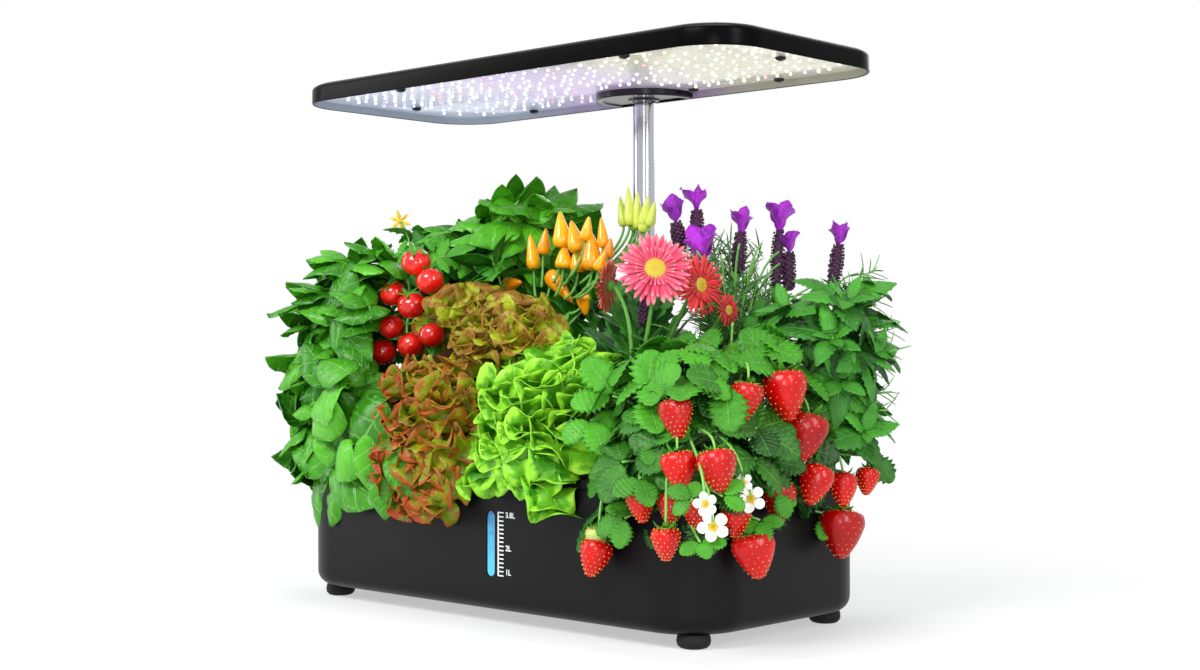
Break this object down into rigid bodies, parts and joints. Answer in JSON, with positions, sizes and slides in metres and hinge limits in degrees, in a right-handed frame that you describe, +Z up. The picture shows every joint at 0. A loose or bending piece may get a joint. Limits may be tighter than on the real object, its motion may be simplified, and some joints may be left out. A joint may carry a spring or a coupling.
{
  "type": "countertop hydroponic garden",
  "caption": "Countertop hydroponic garden: water tank on rubber feet, lift-off grow deck with net baskets and plants, pump, and a lamp head on a telescopic mast.",
  "frame": {"origin": "on the table under the middle of the tank", "axes": "+Z up, -Y towards the front wall with the sight window, +X to the right of a person facing it"},
  "size_m": [0.476, 0.24, 0.392],
  "materials": {
    "tank_plastic": "satin charcoal, fine moulded grain",
    "deck_plastic": "satin black",
    "basket_plastic": "satin black, thin wall",
    "gloss_black_plastic": "half gloss black",
    "hub_plastic": "gloss black, seen in violet light",
    "button_plastic": "satin grey",
    "window_plastic": "clear, blue tint",
    "rubber": "matt black",
    "steel": "polished stainless",
    "led_board": "glossy silver-white coating with LED packages",
    "screw_black": "black oxide, domed head",
    "circuit_board": "green solder mask",
    "basil_leaf": "smooth cupped leaf",
    "red_lettuce_leaf": "frilled leaf, green base and red-brown frill",
    "green_lettuce_leaf": "frilled bright green leaf",
    "strawberry_leaf": "toothed leaf, red fruit and white flowers",
    "tomato_leaf": "lobed leaf, red fruit",
    "pepper_leaf": "smooth leaf, orange and pale yellow fruit",
    "gerbera_leaf": "lobed leaf, pink and red flowers",
    "lavender_leaf": "needle leaf, violet flower spikes",
    "mint_leaf": "toothed leaf with sunk veins"
  },
  "bodies": {
    "tank": {"reservoir": "tank_plastic", "sight_window": "window_plastic", "window_gasket": "rubber", "foot_front_left": "rubber", "foot_front_right": "rubber", "foot_rear_left": "rubber", "foot_rear_right": "rubber"},
    "deck": {"grow_deck": "deck_plastic", "control_housing": "gloss_black_plastic", "control_board": "circuit_board", "power_inlet": "deck_plastic", "mast_outer_tube": "steel", "mast_collar": "deck_plastic", "lid_hinge_pin": "steel", "pump_cradle": "deck_plastic", "pump_body": "deck_plastic", "pump_cover": "deck_plastic", "pump_lead": "rubber"},
    "lamp_head": {"mast_inner_tube": "steel", "lamp_hub": "hub_plastic", "lamp_shell": "gloss_black_plastic", "led_board": "led_board", "lamp_screw_1": "screw_black", "lamp_screw_2": "screw_black", "lamp_screw_3": "screw_black", "lamp_screw_4": "screw_black", "lamp_screw_5": "screw_black", "lamp_screw_6": "screw_black", "lamp_screw_7": "screw_black", "lamp_screw_8": "screw_black"},
    "lid": {"water_lid": "deck_plastic"},
    "light_key": {"light_button": "button_plastic"},
    "pump_key": {"pump_button": "button_plastic"},
    "rotor": {"impeller": "button_plastic"},
    "pod_01": {"net_basket_01": "basket_plastic", "basil_plant_front": "basil_leaf"},
    "pod_02": {"net_basket_02": "basket_plastic", "red_lettuce_plant": "red_lettuce_leaf"},
    "pod_03": {"net_basket_03": "basket_plastic", "green_lettuce_plant": "green_lettuce_leaf"},
    "pod_04": {"net_basket_04": "basket_plastic", "strawberry_plant_front": "strawberry_leaf"},
    "pod_05": {"net_basket_05": "basket_plastic", "tomato_plant": "tomato_leaf"},
    "pod_06": {"net_basket_06": "basket_plastic", "pepper_plant": "pepper_leaf"},
    "pod_07": {"net_basket_07": "basket_plastic", "gerbera_plant": "gerbera_leaf"},
    "pod_08": {"net_basket_08": "basket_plastic", "strawberry_plant_side": "strawberry_leaf"},
    "pod_09": {"net_basket_09": "basket_plastic", "basil_plant_corner": "basil_leaf"},
    "pod_10": {"net_basket_10": "basket_plastic", "basil_plant_rear": "basil_leaf"},
    "pod_11": {"net_basket_11": "basket_plastic", "lavender_plant": "lavender_leaf"},
    "pod_12": {"net_basket_12": "basket_plastic", "mint_plant": "mint_leaf"}
  },
  "joints": [
    {"name": "deck_lift", "type": "slide", "parent": "tank", "child": "deck", "axis": [0, 0, 1], "range_m": [0, 0.04]},
    {"name": "mast_slide", "type": "slide", "parent": "deck", "child": "lamp_head", "axis": [0, 0, 1], "range_m": [-0.05, 0.07]},
    {"name": "water_lid_hinge", "type": "hinge", "parent": "deck", "child": "lid", "pos_m": [-0.051, 0.0872, 0.1079], "axis": [-1, 0, 0], "range_deg": [0, 105]},
    {"name": "light_button_press", "type": "slide", "parent": "deck", "child": "light_key", "axis": [0, 0, -1], "range_m": [0, 0.0012], "stiffness_N_per_m": 800},
    {"name": "pump_button_press", "type": "slide", "parent": "deck", "child": "pump_key", "axis": [0, 0, -1], "range_m": [0, 0.0012], "stiffness_N_per_m": 800},
    {"name": "impeller_spin", "type": "hinge", "parent": "deck", "child": "rotor", "pos_m": [0, 0.059, 0.0321], "axis": [0, -1, 0], "continuous": true},
    {"name": "pod_01_lift", "type": "slide", "parent": "deck", "child": "pod_01", "axis": [0, 0, 1], "range_m": [0, 0.05]},
    {"name": "pod_02_lift", "type": "slide", "parent": "deck", "child": "pod_02", "axis": [0, 0, 1], "range_m": [0, 0.05]},
    {"name": "pod_03_lift", "type": "slide", "parent": "deck", "child": "pod_03", "axis": [0, 0, 1], "range_m": [0, 0.05]},
    {"name": "pod_04_lift", "type": "slide", "parent": "deck", "child": "pod_04", "axis": [0, 0, 1], "range_m": [0, 0.05]},
    {"name": "pod_05_lift", "type": "slide", "parent": "deck", "child": "pod_05", "axis": [0, 0, 1], "range_m": [0, 0.05]},
    {"name": "pod_06_lift", "type": "slide", "parent": "deck", "child": "pod_06", "axis": [0, 0, 1], "range_m": [0, 0.05]},
    {"name": "pod_07_lift", "type": "slide", "parent": "deck", "child": "pod_07", "axis": [0, 0, 1], "range_m": [0, 0.05]},
    {"name": "pod_08_lift", "type": "slide", "parent": "deck", "child": "pod_08", "axis": [0, 0, 1], "range_m": [0, 0.05]},
    {"name": "pod_09_lift", "type": "slide", "parent": "deck", "child": "pod_09", "axis": [0, 0, 1], "range_m": [0, 0.05]},
    {"name": "pod_10_lift", "type": "slide", "parent": "deck", "child": "pod_10", "axis": [0, 0, 1], "range_m": [0, 0.05]},
    {"name": "pod_11_lift", "type": "slide", "parent": "deck", "child": "pod_11", "axis": [0, 0, 1], "range_m": [0, 0.05]},
    {"name": "pod_12_lift", "type": "slide", "parent": "deck", "child": "pod_12", "axis": [0, 0, 1], "range_m": [0, 0.05]}
  ]
}
